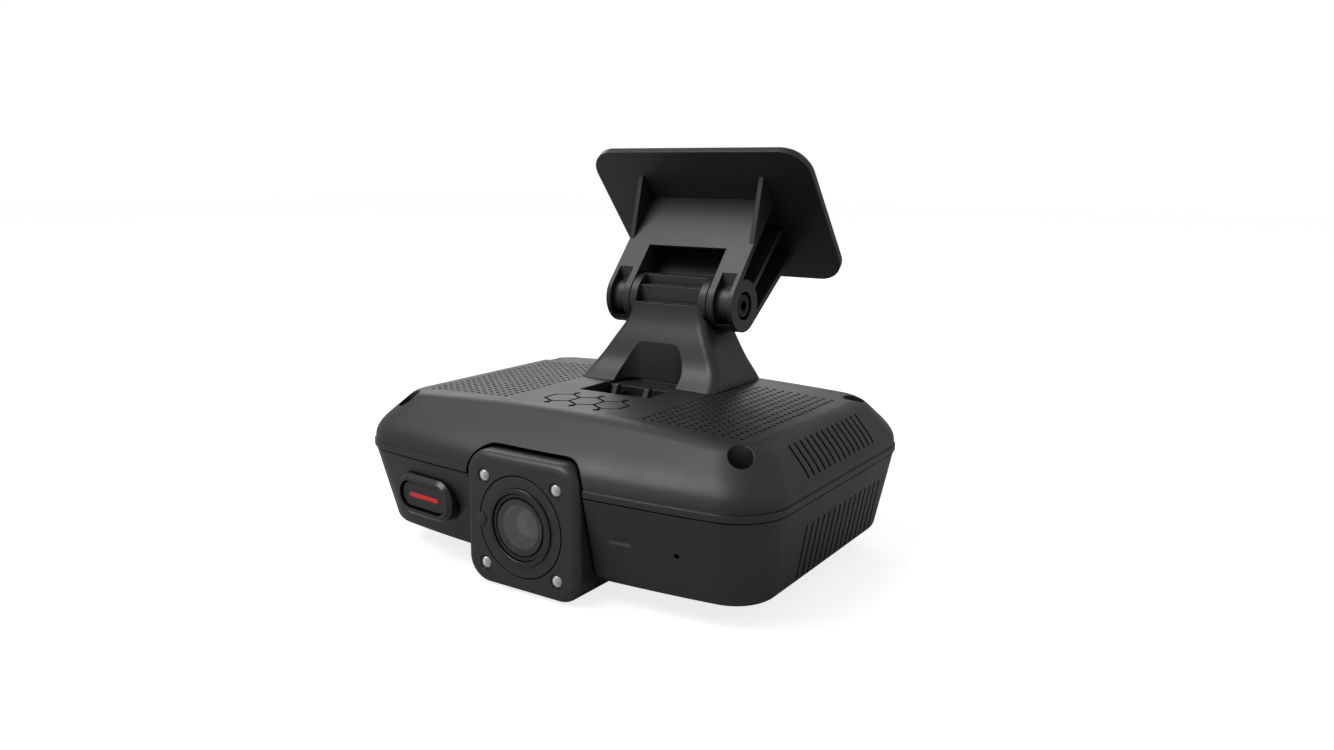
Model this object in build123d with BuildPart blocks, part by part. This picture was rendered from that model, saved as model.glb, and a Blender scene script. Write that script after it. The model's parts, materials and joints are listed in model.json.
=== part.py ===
from build123d import *
import os
from math import acos, atan2, cos, degrees, radians, sin, sqrt

os.makedirs("parts", exist_ok=True)

# Dual-lens dash camera hung from a windscreen by a tilting bracket, in millimetres.
# +X is the viewer's right, +Y points through the windscreen to the road, +Z is up.
# The origin is the middle of the housing in X and Y, at the housing's flat bottom.

# ---------------------------------------------------------------- driving dimensions

# Housing: outline at the parting line, outline at the bottom, and heights
half_width = 64.2
front_depth = 45.8
rear_depth = 47.4
plan_bow = 5.0
rear_bow = 0.5
plan_corner = 14.0
bottom_half_width = 60.2
bottom_front_depth = 40.6
bottom_rear_depth = 42.4
bottom_corner = 11.5
bottom_round = 3.0
parting_height = 22.3
parting_gap = 0.3
lip_top = 24.4
lip_proud = 0.35
crown_height = 39.0
crown_drop = 2.7
crown_round = 7.0
wall = 2.2
tongue_out = 3.4
tongue_in = 4.5
tongue_root = 6.0
tongue_height = 1.3
# Upper shell's outline as it closes in: height, half width, front depth, rear depth, bow, corner radius
upper_sections = [
    (lip_top, half_width, front_depth, rear_depth, plan_bow, plan_corner),
    (28.4, 63.7, 44.4, 46.2, 4.6, 13.5),
    (32.6, 60.6, 39.7, 43.4, 3.2, 12.5),
    (37.0, 57.0, 33.4, 39.4, 1.2, 11.0),
    (41.0, 53.4, 28.0, 35.2, 0.9, 9.0),
]

# Housing screws (M3 socket heads sunk in the top corners)
housing_screw_x = 53.4
housing_screw_y = 32.0
counterbore_radius = 3.0
counterbore_floor = 29.0
screw_radius = 1.5
screw_head_radius = 2.75
screw_head_height = 2.0
screw_bottom = 14.0

# Vents
top_hole_radius = 0.65
top_hole_pitch_x = 2.5
top_hole_pitch_y = 2.28
top_hole_columns = 12
top_hole_rows = 23
top_grid_x = 36.4
top_grid_y = -0.6
side_slot_width = 0.9
upper_slot_pitch = 3.0
upper_slot_count = 14
upper_slot_middle = 2.0
upper_slot_low = 28.0
upper_slot_in = 52.0
upper_slot_high = 35.4
lower_slot_pitch = 3.2
lower_slot_count = 15
lower_slot_middle = 6.3
lower_slot_high = 16.4

# Honeycomb engraving on the top
cell_side = 4.7
cell_line = 0.8
cell_depth = 0.8
cell_middle_y = -19.5
cell_dot_radius = 0.85
cell_stub = 1.9

# Cabin camera pod
pod_half = 18.0
pod_low = -5.2
pod_high = 29.8
pod_corner = 6.6
pod_front = -46.9
pod_rear = -27.0
pod_wall = 1.8
pod_edge_round = 2.2
pod_pivot_y = -32.0
pod_pivot_z = 13.0
pod_pin_radius = 2.0
running_clearance = 0.05
notch_half_upper = 18.6
notch_top = 30.8
notch_half_lower = 18.5
notch_back = -20.6
lens_z = 12.0
disc_radius = 12.9
disc_groove = 0.35
key_radius = 1.6
bezel_radius = 10.0
bezel_inner = 8.7
barrel_radius = 8.5
glass_radius = 7.2
led_offset = 11.5
led_radius = 1.5
led_bore = 2.0

# Event button
button_x = -35.8
button_z = 12.5
button_yaw = 5.0
button_wall_y = -41.9
button_length = 22.4
button_height = 11.4
button_rim = 1.9
button_gap = 0.2
bezel_proud = 3.1
cap_sunk = 0.7
button_travel = 0.8
light_bar_length = 11.7
light_bar_height = 1.2

# Status light and microphone
status_x = 27.2
status_z = 12.3
status_length = 6.3
status_height = 0.9
microphone_x = 42.2
microphone_z = 11.9

# Neck, foot and release latch
hinge_y = 26.0
hinge_z = 61.1
ear_radius = 7.6
barrel_half = 13.0
neck_sections = [
    (37.0, 20.8, 46.6, 31.4),
    (39.0, 21.3, 45.4, 28.8),
    (41.5, 22.0, 44.0, 24.6),
    (46.0, 23.0, 38.8, 20.4),
    (50.0, 23.8, 34.0, 18.8),
    (54.5, 25.0, 28.8, 17.0),
    (58.0, 25.7, 26.4, 15.9),
    (62.0, 26.0, 25.4, 15.8),
]
neck_corner = 2.6
ear_room = 0.6
swing_reach = 12.0
scallop_half = 10.6
scallop_front = -12.0
scallop_back = 14.4
scallop_corner = 5.6
scallop_height = 20.0
foot_half = 10.5
foot_front = 5.2
foot_rear = 33.0
foot_low = 34.2
foot_gap = 0.2
roof_recess = 0.7
stem_overlap = 1.5
toe_reach = 2.0
toe_top = 36.0
recess_half = 11.2
recess_front = -8.2
spring_radius = 0.8
spring_wire = 0.15
spring_length = 3.8

# Speaker under the left perforations
speaker_y = 4.0
speaker_radius = 12.0
magnet_radius = 8.0
cone_radius = 10.1
cone_edge = 9.0

# Windscreen bracket
rake = 50.2
plate_width = 74.0
plate_length = 49.0
plate_corner = 8.5
plate_thickness = 2.0
plate_top_y = 29.8
plate_top_z = 104.0
front_meets_plate = 17.7
rear_meets_plate = 40.3
arm_half = 21.6
ear_inner = 13.3
sheet_wall = 1.7
rib_wall = 1.3
pocket_floor = 15.0
core_half = 13.3
swing_radius = 16.0
rib_reach_in = 9.2
bolt_radius = 2.0
bolt_head_radius = 3.5
bolt_head_height = 4.0
bolt_recess_radius = 4.1
nut_flats = 7.0
nut_height = 3.2
pad_thickness = 1.1

# Road camera
road_z = 20.0
road_radius = 10.5
road_front = 50.0
road_rear = 31.0

# Inside
board_low = 12.4
board_thickness = 1.6
board_top = board_low + board_thickness
board_posts = [(-48.0, -14.0), (48.0, -14.0), (-20.0, 33.0), (20.0, 33.0)]
post_radius = 3.0
hatch_x = -35.0
hatch_y = 15.9
hatch_length = 24.0
hatch_width = 15.8
hatch_axis_y = 25.4
hatch_axis_z = 1.7
hatch_pin_radius = 0.75
socket_x = 34.0
socket_z = 10.0


def write(piece, name):
    """Labels a finished piece and writes it as its own file."""
    piece.part.label = name
    export_step(piece.part, f"parts/{name}.step")


# ---------------------------------------------------------------- housing forms


def plan(width, front_reach, rear_reach, bow, corner, height):
    """Face with a bowed front edge, a nearly straight rear edge and rounded corners, at a height."""
    with BuildSketch(Plane.XY.offset(height)) as outline:
        with BuildLine():
            front = ThreePointArc((-width, bow - front_reach), (0, -front_reach), (width, bow - front_reach))
            rear = ThreePointArc((width, rear_reach - rear_bow), (0, rear_reach), (-width, rear_reach - rear_bow))
            Line(front @ 1, rear @ 0)
            Line(rear @ 1, front @ 0)
        make_face()
        fillet(outline.vertices(), radius=corner)
    return outline.sketch.face()


def rim_plan(inset):
    """The outline at the parting line, moved in by an inset, drawn on the sketch's own plane."""
    corner = plan_corner - max(inset, 0)
    return plan(half_width - inset, front_depth - inset, rear_depth - inset, plan_bow, corner, 0)


def drafted_plan(height, inset):
    """Lower shell's outline at a height, moved in by an inset."""
    share = height / parting_height
    width = bottom_half_width + (half_width - bottom_half_width) * share
    front_reach = bottom_front_depth + (front_depth - bottom_front_depth) * share
    rear_reach = bottom_rear_depth + (rear_depth - bottom_rear_depth) * share
    corner = bottom_corner + (plan_corner - bottom_corner) * share
    return plan(width - inset, front_reach - inset, rear_reach - inset, plan_bow, corner - inset, height)


def lower_form(inset):
    """Solid inside the lower shell's outer faces, moved in by an inset."""
    with BuildPart() as form:
        loft([drafted_plan(inset, inset), drafted_plan(parting_height, inset)], ruled=True)
        fillet(form.faces().sort_by(Axis.Z)[0].edges(), radius=bottom_round - inset / 2)
    return form.part


def upper_form(inset, foot_height):
    """Solid inside the upper shell's crowned and sloping outer faces, moved in by an inset."""
    heights = [foot_height] + [section[0] - 0.8 * inset for section in upper_sections[1:]]
    with BuildPart() as form:
        loft(
            [
                plan(width - inset, front_reach - inset, rear_reach - inset, bow, corner - inset, height)
                for height, (_, width, front_reach, rear_reach, bow, corner) in zip(heights, upper_sections)
            ]
        )
        with BuildSketch(Plane.XZ) as crown:
            with BuildLine():
                top = ThreePointArc(
                    (-half_width - 2, crown_height - crown_drop - inset),
                    (0, crown_height - inset),
                    (half_width + 2, crown_height - crown_drop - inset),
                )
                Polyline(top @ 1, (half_width + 2, wall), (-half_width - 2, wall), top @ 0)
            make_face()
        extrude(amount=rear_depth + 2, both=True, mode=Mode.INTERSECT)
        fillet(form.faces().sort_by(Axis.Z)[-1].edges(), radius=crown_round - inset)
    return form.part


outer_lower = lower_form(0)
inner_lower = lower_form(wall)
outer_upper = upper_form(0, lip_top)
inner_upper = upper_form(wall, parting_height)


def road_camera_bore():
    """Cutter for the road camera's tube through the rear wall."""
    with BuildPart() as bore:
        with BuildSketch(Plane.XZ.offset(-road_rear)):
            with Locations((0, road_z)):
                Circle(road_radius)
        extrude(amount=road_rear - road_front - 2)
    return bore.part


# ---------------------------------------------------------------- upper shell


def side_slot_rows(count, pitch, middle, low, high, reach_in):
    """Cutters for a row of round-ended upright slots through both side walls."""
    with BuildPart() as slots:
        with BuildSketch(Plane.YZ.offset(reach_in)):
            with Locations((middle, (low + high) / 2)):
                with GridLocations(pitch, 1, count, 1):
                    SlotOverall(high - low, side_slot_width, rotation=90)
        extrude(amount=half_width + 2 - reach_in)
        mirror(about=Plane.YZ)
    return slots.part


def honeycomb_engraving():
    """Cutters for three engraved cells with stubs that end in dots."""
    cell_width = cell_side * sqrt(3)
    middles = [(0, cell_middle_y), (cell_width, cell_middle_y), (-cell_width, cell_middle_y)]
    with BuildPart() as engraving:
        with BuildSketch(Plane.XY.offset(crown_height - cell_depth)):
            with Locations(middles):
                RegularPolygon(cell_side + cell_line / 2, 6, rotation=30)
            with Locations(middles):
                RegularPolygon(cell_side - cell_line / 2, 6, rotation=30, mode=Mode.SUBTRACT)
            for x, y in middles:
                with Locations((x, y)):
                    with PolarLocations(cell_side + cell_stub / 2, 2, start_angle=90):
                        Rectangle(cell_stub, cell_line)
                    with PolarLocations(cell_side + cell_stub, 2, start_angle=90):
                        Circle(cell_dot_radius)
        extrude(amount=2)
    return engraving.part


def screw_bosses(radius, low, high, form):
    """Four upright bosses in the housing's corners, trimmed to a form."""
    with BuildPart() as bosses:
        add(form)
        with BuildSketch(Plane.XY.offset(low)):
            with GridLocations(2 * housing_screw_x, 2 * housing_screw_y, 2, 2):
                Circle(radius)
        extrude(amount=high - low, mode=Mode.INTERSECT)
    return bosses.part


def foot_pocket_block():
    """Thick block under the roof that the neck's foot sits in, trimmed to the crown."""
    with BuildPart() as block:
        add(outer_upper)
        with BuildSketch(Plane.XY.offset(foot_low - foot_gap - wall)):
            with Locations((0, (recess_front + foot_rear) / 2 + 1.5)):
                Rectangle(2 * recess_half + 4, foot_rear - recess_front + 7)
        extrude(amount=12, mode=Mode.INTERSECT)
    return block.part


with BuildPart() as upper_shell:
    add(outer_upper)
    with BuildSketch(Plane.XY.offset(parting_height + parting_gap)):
        add(rim_plan(-lip_proud))
    extrude(amount=lip_top - parting_height - parting_gap)
    fillet(upper_shell.faces().sort_by(Axis.Z)[0].edges(), radius=lip_proud)
    add(inner_upper, mode=Mode.SUBTRACT)
    add(screw_bosses(counterbore_radius + 1.4, lip_top, crown_height, outer_upper))
    add(foot_pocket_block())
    # Sunk screw seats
    with Locations(Plane.XY.offset(counterbore_floor)):
        with GridLocations(2 * housing_screw_x, 2 * housing_screw_y, 2, 2):
            Cylinder(
                counterbore_radius, 12, align=(Align.CENTER, Align.CENTER, Align.MIN), mode=Mode.SUBTRACT
            )
            Cylinder(screw_radius + 0.2, 20, mode=Mode.SUBTRACT)
    # Perforated fields left and right of the neck
    with BuildSketch(Plane.XY.offset(crown_height - wall - 4)):
        with Locations((-top_grid_x, top_grid_y), (top_grid_x, top_grid_y)):
            with GridLocations(top_hole_pitch_x, top_hole_pitch_y, top_hole_columns, top_hole_rows):
                Circle(top_hole_radius)
    extrude(amount=wall + 6, mode=Mode.SUBTRACT)
    add(
        side_slot_rows(
            upper_slot_count, upper_slot_pitch, upper_slot_middle, upper_slot_low, upper_slot_high, upper_slot_in
        ),
        mode=Mode.SUBTRACT,
    )
    add(honeycomb_engraving(), mode=Mode.SUBTRACT)
    # Notch round the cabin camera pod
    with BuildSketch(Plane.XZ.offset(-pod_rear - 3)):
        with Locations((0, notch_top - notch_half_upper)):
            RectangleRounded(2 * notch_half_upper, 2 * notch_half_upper, pod_corner + 0.8)
        with Locations((0, parting_height)):
            Rectangle(2 * notch_half_upper, 6)
    extrude(amount=30, mode=Mode.SUBTRACT)
    # Road camera bore
    add(road_camera_bore(), mode=Mode.SUBTRACT)
    # Foot pocket with its rear undercut, and the latch recess in front of it
    with BuildSketch(Plane.XY.offset(foot_low - foot_gap)):
        with Locations((0, (foot_front + foot_rear) / 2)):
            Rectangle(2 * (foot_half + foot_gap), foot_rear - foot_front + 2 * foot_gap)
        with Locations((0, (recess_front + foot_front) / 2)):
            Rectangle(2 * recess_half, foot_front - recess_front)
    extrude(amount=12, mode=Mode.SUBTRACT)
    with BuildSketch(Plane.XY.offset(foot_low - foot_gap)):
        with Locations((0, foot_rear + 1.5)):
            Rectangle(2 * foot_half - 2.6, 3.4)
    extrude(amount=1.8, mode=Mode.SUBTRACT)
write(upper_shell, "upper_shell")


# ---------------------------------------------------------------- lower shell


def pod_liner():
    """Walls either side of and behind the pod, carrying its pivot bosses."""
    with BuildPart() as liner:
        add(outer_lower)
        with BuildSketch(Plane.XY):
            with Locations((0, notch_back - 9)):
                Rectangle(2 * (notch_half_lower + wall), 2 * (wall + 9))
        extrude(amount=parting_height, mode=Mode.INTERSECT)
        with BuildSketch(Plane.YZ):
            with Locations((pod_pivot_y, pod_pivot_z)):
                Circle(pod_pin_radius + 2.2)
        extrude(amount=notch_half_lower + wall + 2.6, both=True)
        with BuildSketch(Plane.XY.offset(pod_low)):
            with Locations((0, notch_back - 20)):
                Rectangle(2 * notch_half_lower, 40)
        extrude(amount=40, mode=Mode.SUBTRACT)
        with BuildSketch(Plane.YZ):
            with Locations((pod_pivot_y, pod_pivot_z)):
                Circle(pod_pin_radius + running_clearance)
        extrude(amount=40, both=True, mode=Mode.SUBTRACT)
        with BuildSketch(Plane.XZ):
            with Locations((0, parting_height)):
                Rectangle(14, 12)
        extrude(amount=25, mode=Mode.SUBTRACT)
    return liner.part


def button_plane(out):
    """Plane along the front wall at the event button, a distance out from the wall."""
    yaw = radians(button_yaw)
    outward = Vector(-sin(yaw), -cos(yaw), 0)
    middle = Vector(button_x, button_wall_y, button_z) + outward * out
    return Plane(origin=middle, x_dir=(cos(yaw), -sin(yaw), 0), z_dir=outward)


with BuildPart() as lower_shell:
    add(outer_lower)
    add(inner_lower, mode=Mode.SUBTRACT)
    # Tongue that stands up inside the upper shell's lip
    with BuildSketch(Plane.XY.offset(parting_height - tongue_root)):
        add(rim_plan(tongue_out))
        add(rim_plan(tongue_in), mode=Mode.SUBTRACT)
    extrude(amount=tongue_root + tongue_height)
    add(screw_bosses(screw_radius + 2, wall / 2, parting_height, outer_lower))
    # Posts for the main board
    with BuildSketch(Plane.XY.offset(wall / 2)):
        with Locations(board_posts):
            Circle(post_radius)
    extrude(amount=board_low - wall / 2)
    # Hinge lugs of the card hatch
    with BuildSketch(Plane.YZ.offset(hatch_x)):
        with Locations((hatch_axis_y, hatch_axis_z + 0.6)):
            Rectangle(4.4, 3)
    extrude(amount=hatch_length / 2 + 2.4, both=True)
    # Opening for the pod, from the front to behind its swinging corner
    with BuildSketch(Plane.XY.offset(-1)):
        with Locations((0, notch_back - 20)):
            Rectangle(2 * notch_half_lower, 40)
    extrude(amount=30, mode=Mode.SUBTRACT)
    add(pod_liner())
    # Screw holes
    with BuildSketch(Plane.XY.offset(screw_bottom)):
        with GridLocations(2 * housing_screw_x, 2 * housing_screw_y, 2, 2):
            Circle(screw_radius)
    extrude(amount=20, mode=Mode.SUBTRACT)
    with BuildSketch(Plane.XY.offset(wall + 2)):
        with Locations(board_posts):
            Circle(1.0)
    extrude(amount=board_low, mode=Mode.SUBTRACT)
    # Openings in the front wall
    with BuildSketch(button_plane(-6)):
        SlotOverall(button_length, button_height)
    extrude(amount=12, mode=Mode.SUBTRACT)
    with BuildSketch(Plane.XZ.offset(36)):
        with Locations((status_x, status_z)):
            SlotOverall(status_length, status_height)
        with Locations((microphone_x, microphone_z)):
            Circle(0.7)
    extrude(amount=14, mode=Mode.SUBTRACT)
    add(
        side_slot_rows(lower_slot_count, lower_slot_pitch, lower_slot_middle, -2, lower_slot_high, 56.4),
        mode=Mode.SUBTRACT,
    )
    # Road camera bore and power socket opening in the rear wall
    add(road_camera_bore(), mode=Mode.SUBTRACT)
    with BuildSketch(Plane.XZ.offset(-34)):
        with Locations((socket_x, socket_z)):
            RectangleRounded(13, 8, 1)
    extrude(amount=-14, mode=Mode.SUBTRACT)
    # Card hatch opening and its pin hole
    with BuildSketch(Plane.XY.offset(-1)):
        with Locations((hatch_x, hatch_y + 1.8)):
            Rectangle(hatch_length + 0.5, hatch_width + 4.1)
    extrude(amount=hatch_axis_z + 4, mode=Mode.SUBTRACT)
    with BuildSketch(Plane.YZ.offset(hatch_x)):
        with Locations((hatch_axis_y, hatch_axis_z)):
            Circle(hatch_pin_radius)
    extrude(amount=hatch_length / 2 + 2, both=True, mode=Mode.SUBTRACT)
write(lower_shell, "lower_shell")

# ---------------------------------------------------------------- housing screws

with BuildPart() as housing_screws:
    with Locations(Plane.XY.offset(counterbore_floor)):
        with GridLocations(2 * housing_screw_x, 2 * housing_screw_y, 2, 2):
            Cylinder(screw_head_radius, screw_head_height, align=(Align.CENTER, Align.CENTER, Align.MIN))
            Cylinder(
                screw_radius, counterbore_floor - screw_bottom, align=(Align.CENTER, Align.CENTER, Align.MAX)
            )
    chamfer(housing_screws.faces().group_by(Axis.Z)[-1].edges(), 0.25)
    with BuildSketch(Plane.XY.offset(counterbore_floor + screw_head_height)):
        with GridLocations(2 * housing_screw_x, 2 * housing_screw_y, 2, 2):
            RegularPolygon(1.44, 6)
    extrude(amount=-1.3, mode=Mode.SUBTRACT)
write(housing_screws, "housing_screws")

# ---------------------------------------------------------------- event button

with BuildPart() as event_button_bezel:
    with BuildSketch(button_plane(-3.4)):
        SlotOverall(button_length, button_height)
    extrude(amount=3.4 + bezel_proud)
    chamfer(event_button_bezel.faces().sort_by(Axis.Y)[0].edges(), 1.0)
    with BuildSketch(button_plane(-4)):
        SlotOverall(button_length - 2 * button_rim, button_height - 2 * button_rim)
    extrude(amount=10, mode=Mode.SUBTRACT)
write(event_button_bezel, "event_button_bezel")

with BuildPart() as event_button_cap:
    with BuildSketch(button_plane(-2.6)):
        SlotOverall(
            button_length - 2 * button_rim - 2 * button_gap, button_height - 2 * button_rim - 2 * button_gap
        )
    extrude(amount=2.6 + bezel_proud - cap_sunk)
    fillet(event_button_cap.faces().sort_by(Axis.Y)[0].edges(), 0.5)
    with BuildSketch(button_plane(-4.4)):
        Rectangle(4, 3)
    extrude(amount=2)
    with BuildSketch(button_plane(bezel_proud - cap_sunk - 1.2)):
        SlotOverall(light_bar_length, light_bar_height)
    extrude(amount=3, mode=Mode.SUBTRACT)
write(event_button_cap, "event_button_cap")

with BuildPart() as button_light_bar:
    with BuildSketch(button_plane(bezel_proud - cap_sunk - 1.2)):
        SlotOverall(light_bar_length, light_bar_height)
    extrude(amount=1.3)
write(button_light_bar, "button_light_bar")

with BuildPart() as button_switch:
    with BuildSketch(button_plane(-8.9)):
        Rectangle(6, 6)
    extrude(amount=3.0)
    with BuildSketch(button_plane(-5.9)):
        Circle(1.75)
    extrude(amount=0.6)
write(button_switch, "button_switch")

with BuildPart() as button_board:
    with BuildSketch(button_plane(-9.9)):
        Rectangle(20, 11)
    extrude(amount=1.0)
write(button_board, "button_board")

# ---------------------------------------------------------------- status light, microphone

with BuildPart() as status_light_pipe:
    add(outer_lower)
    with BuildSketch(Plane.XZ.offset(37)):
        with Locations((status_x, status_z)):
            SlotOverall(status_length, status_height)
    extrude(amount=14, mode=Mode.INTERSECT)
write(status_light_pipe, "status_light_pipe")

with BuildPart() as microphone:
    with BuildSketch(Plane.XZ.offset(31.5)):
        with Locations((microphone_x, microphone_z)):
            Rectangle(4, 3)
    extrude(amount=1.1)
write(microphone, "microphone")

with BuildPart() as microphone_gasket:
    with BuildSketch(Plane.XZ.offset(32.6)):
        with Locations((microphone_x, microphone_z)):
            Circle(2.0)
            Circle(0.8, mode=Mode.SUBTRACT)
    extrude(amount=2.4)
write(microphone_gasket, "microphone_gasket")

# ---------------------------------------------------------------- cabin camera pod


def pod_profile(inset):
    """Rounded-square outline of the pod in the X-Z plane, moved in by an inset."""
    with BuildSketch(Plane.XZ) as profile:
        with Locations((0, (pod_low + pod_high) / 2)):
            RectangleRounded(
                2 * (pod_half - inset), pod_high - pod_low - 2 * inset, pod_corner - inset
            )
    return profile.sketch


led_places = [
    (side * led_offset, lens_z + rise * led_offset) for side in (-1, 1) for rise in (-1, 1)
]

with BuildPart() as cabin_camera_housing:
    with BuildSketch(Plane.XZ.offset(-pod_rear)):
        add(pod_profile(0))
    extrude(amount=pod_rear - pod_front)
    fillet(cabin_camera_housing.faces().sort_by(Axis.Y)[0].edges(), pod_edge_round)
    with BuildSketch(Plane.XZ.offset(-pod_rear)):
        add(pod_profile(pod_wall))
    extrude(amount=pod_rear - pod_front - pod_wall, mode=Mode.SUBTRACT)
    # Seat of the rear cover
    with BuildSketch(Plane.XZ.offset(-pod_rear)):
        add(pod_profile(pod_wall / 2))
    extrude(amount=2, mode=Mode.SUBTRACT)
    # Bore behind the lens disc, the disc's seat and its locating notch
    with BuildSketch(Plane.XZ.offset(-pod_front)):
        with Locations((0, lens_z)):
            Circle(bezel_radius - 0.6)
        with Locations(led_places):
            Circle(led_bore)
    extrude(amount=-pod_wall, mode=Mode.SUBTRACT)
    with BuildSketch(Plane.XZ.offset(-pod_front)):
        with Locations((0, lens_z)):
            Circle(disc_radius + disc_groove)
        with Locations((-disc_radius, lens_z)):
            RegularPolygon(key_radius + disc_groove, 6)
    extrude(amount=-1.0, mode=Mode.SUBTRACT)
    # Holes for the pivot pins
    with BuildSketch(Plane.YZ):
        with Locations((pod_pivot_y, pod_pivot_z)):
            Circle(pod_pin_radius)
    extrude(amount=pod_half + 2, both=True, mode=Mode.SUBTRACT)
write(cabin_camera_housing, "cabin_camera_housing")

with BuildPart() as cabin_camera_back:
    with BuildSketch(Plane.XZ.offset(-pod_rear)):
        add(pod_profile(pod_wall / 2))
    extrude(amount=2)
    with BuildSketch(Plane.XZ.offset(-pod_rear)):
        with Locations((0, lens_z + 6)):
            Rectangle(10, 2)
    extrude(amount=2, mode=Mode.SUBTRACT)
write(cabin_camera_back, "cabin_camera_back")

with BuildPart() as cabin_lens_disc:
    with BuildSketch(Plane.XZ.offset(-pod_front - 1.0)):
        with Locations((0, lens_z)):
            Circle(disc_radius)
        with Locations((-disc_radius, lens_z)):
            RegularPolygon(key_radius, 6)
        with Locations((0, lens_z)):
            Circle(bezel_radius - 1.2, mode=Mode.SUBTRACT)
    extrude(amount=1.0)
write(cabin_lens_disc, "cabin_lens_disc")

with BuildPart() as cabin_lens_bezel:
    with BuildSketch(Plane.YZ) as bezel_section:
        with Locations((pod_front - 0.3, lens_z)):
            Rectangle(0.6, bezel_radius, align=(Align.CENTER, Align.MIN))
            Rectangle(0.6, bezel_inner, align=(Align.CENTER, Align.MIN), mode=Mode.SUBTRACT)
        fillet(bezel_section.vertices().group_by(Axis.X)[0], 0.28)
    revolve(axis=Axis((0, 0, lens_z), (0, 1, 0)))
write(cabin_lens_bezel, "cabin_lens_bezel")

with BuildPart() as cabin_lens_barrel:
    with BuildSketch(Plane.XZ.offset(-pod_front - 13)):
        with Locations((0, lens_z)):
            Circle(barrel_radius)
    extrude(amount=13)
    with BuildSketch(Plane.XZ.offset(-pod_front - 0.9)):
        with Locations((0, lens_z)):
            Circle(glass_radius + 0.5)
    extrude(amount=2, mode=Mode.SUBTRACT)
    with BuildSketch(Plane.XZ.offset(-pod_front - 5)):
        with Locations((0, lens_z)):
            Circle(glass_radius - 1.6)
    extrude(amount=5, mode=Mode.SUBTRACT)
write(cabin_lens_barrel, "cabin_lens_barrel")


def domed_glass(front, middle_z, radius, edge, dome, facing):
    """Lens element with a domed face that looks along -Y (facing -1) or +Y (facing 1)."""
    with BuildPart() as glass:
        with BuildSketch(Plane.YZ):
            with BuildLine():
                rim = (front - facing * dome, middle_z + radius)
                Line((front - facing * (dome + edge), middle_z), (front, middle_z))
                ThreePointArc((front, middle_z), (front - facing * dome * 0.26, middle_z + radius / 2), rim)
                Polyline(rim, (rim[0] - facing * edge, rim[1]), (front - facing * (dome + edge), middle_z))
            make_face()
        revolve(axis=Axis((0, 0, middle_z), (0, 1, 0)))
    return glass


cabin_lens_glass = domed_glass(pod_front - 0.5, lens_z, glass_radius, 1.0, 0.4, -1)
write(cabin_lens_glass, "cabin_lens_glass")

with BuildPart() as infrared_leds:
    for place_x, place_z in led_places:
        with Locations((place_x, pod_front + 2.6, place_z)):
            Cylinder(led_radius, 5, rotation=(90, 0, 0))
    fillet(infrared_leds.faces().group_by(Axis.Y)[0].edges(), led_radius - 0.1)
write(infrared_leds, "infrared_leds")

with BuildPart() as cabin_sensor_board:
    with BuildSketch(Plane.XZ.offset(-pod_front - 14.2)):
        add(pod_profile(pod_wall + 1.2))
    extrude(amount=1.2)
write(cabin_sensor_board, "cabin_sensor_board")

with BuildPart() as led_board:
    with BuildSketch(Plane.XZ.offset(-pod_front - 6.7)):
        add(pod_profile(pod_wall + 1.2))
        with Locations((0, lens_z)):
            Circle(barrel_radius + 0.4, mode=Mode.SUBTRACT)
    extrude(amount=1.0)
write(led_board, "led_board")

with BuildPart() as pod_pivot_pins:
    with BuildSketch(Plane.YZ.offset(pod_half - pod_wall)):
        with Locations((pod_pivot_y, pod_pivot_z)):
            Circle(pod_pin_radius)
    extrude(amount=pod_wall + 0.5 + wall + 2.4)
    with BuildSketch(Plane.YZ.offset(pod_half - pod_wall - 0.6)):
        with Locations((pod_pivot_y, pod_pivot_z)):
            Circle(pod_pin_radius + 0.7)
    extrude(amount=0.6)
    mirror(about=Plane.YZ)
write(pod_pivot_pins, "pod_pivot_pins")

# ---------------------------------------------------------------- neck and release latch

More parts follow.
